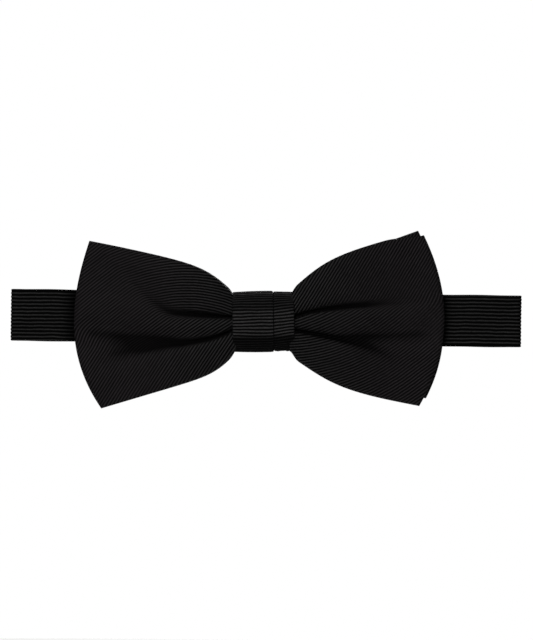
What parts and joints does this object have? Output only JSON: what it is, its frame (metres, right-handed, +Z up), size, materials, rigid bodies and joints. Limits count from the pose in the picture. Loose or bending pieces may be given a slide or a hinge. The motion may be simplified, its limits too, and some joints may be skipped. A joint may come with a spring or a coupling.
{
  "type": "bow tie",
  "caption": "Pre-tied double bow tie in ribbed silk on a neck band with hook, eye and sliding adjuster, the band folded flat behind the bow.",
  "frame": {"origin": "middle of the neck band's front run, on the face that lies against the collar, at the band's mid height", "axes": "+X along the band towards the wearer's left, +Y backwards through the neck, +Z up; the front of the bow faces -Y"},
  "size_m": [0.1669, 0.0189, 0.0597],
  "materials": {
    "silk": "ribbed silk, soft sheen",
    "canvas": "plain woven canvas",
    "wadding": "felted",
    "thread": "twisted thread",
    "label_thread": "twisted thread",
    "label": "woven satin, blank",
    "plated_wire": "nickel plated",
    "adjuster_metal": "nickel plated, slightly worn"
  },
  "bodies": {
    "bow_and_front_run": {"band_front_run": "silk", "band_front_interlining": "canvas", "band_left_fold": "silk", "band_right_fold": "silk", "back_bow": "silk", "back_bow_interlining": "canvas", "front_bow": "silk", "front_bow_interlining": "canvas", "gathering_thread": "thread", "knot_pad": "wadding", "knot_wrap": "silk", "knot_seam_stitches": "thread"},
    "left_half": {"band_left_half": "silk", "band_left_interlining": "canvas", "eye": "plated_wire", "eye_loop_tack": "thread", "size_label": "label", "label_stitches": "label_thread"},
    "right_half": {"band_right_half": "silk", "band_right_interlining": "canvas", "band_return_layer": "silk"},
    "hook": {"hook": "plated_wire"},
    "adjuster": {"adjuster_frame": "adjuster_metal", "adjuster_end_loop": "silk", "adjuster_end_tack": "thread"}
  },
  "joints": [
    {"name": "right_band_fold", "type": "hinge", "parent": "bow_and_front_run", "child": "right_half", "pos_m": [0.0826, 0.0007, 0], "axis": [0, 0, -1], "range_deg": [0, 180], "deforming": ["band_right_fold"]},
    {"name": "left_band_fold", "type": "hinge", "parent": "bow_and_front_run", "child": "left_half", "pos_m": [-0.0809, 0.0007, 0], "axis": [0, 0, 1], "range_deg": [0, 180], "deforming": ["band_left_fold"]},
    {"name": "hook_pivot", "type": "hinge", "parent": "right_half", "child": "hook", "pos_m": [-0.012, 0.003, 0], "axis": [0, 0, -1], "range_deg": [0, 75]},
    {"name": "adjuster_slide", "type": "slide", "parent": "right_half", "child": "adjuster", "axis": [1, 0, 0], "range_m": [-0.032, 0.025], "deforming": ["band_return_layer"]}
  ],
  "couplings": [
    {"joint": "left_band_fold", "follows": "right_band_fold", "ratio": 1}
  ]
}
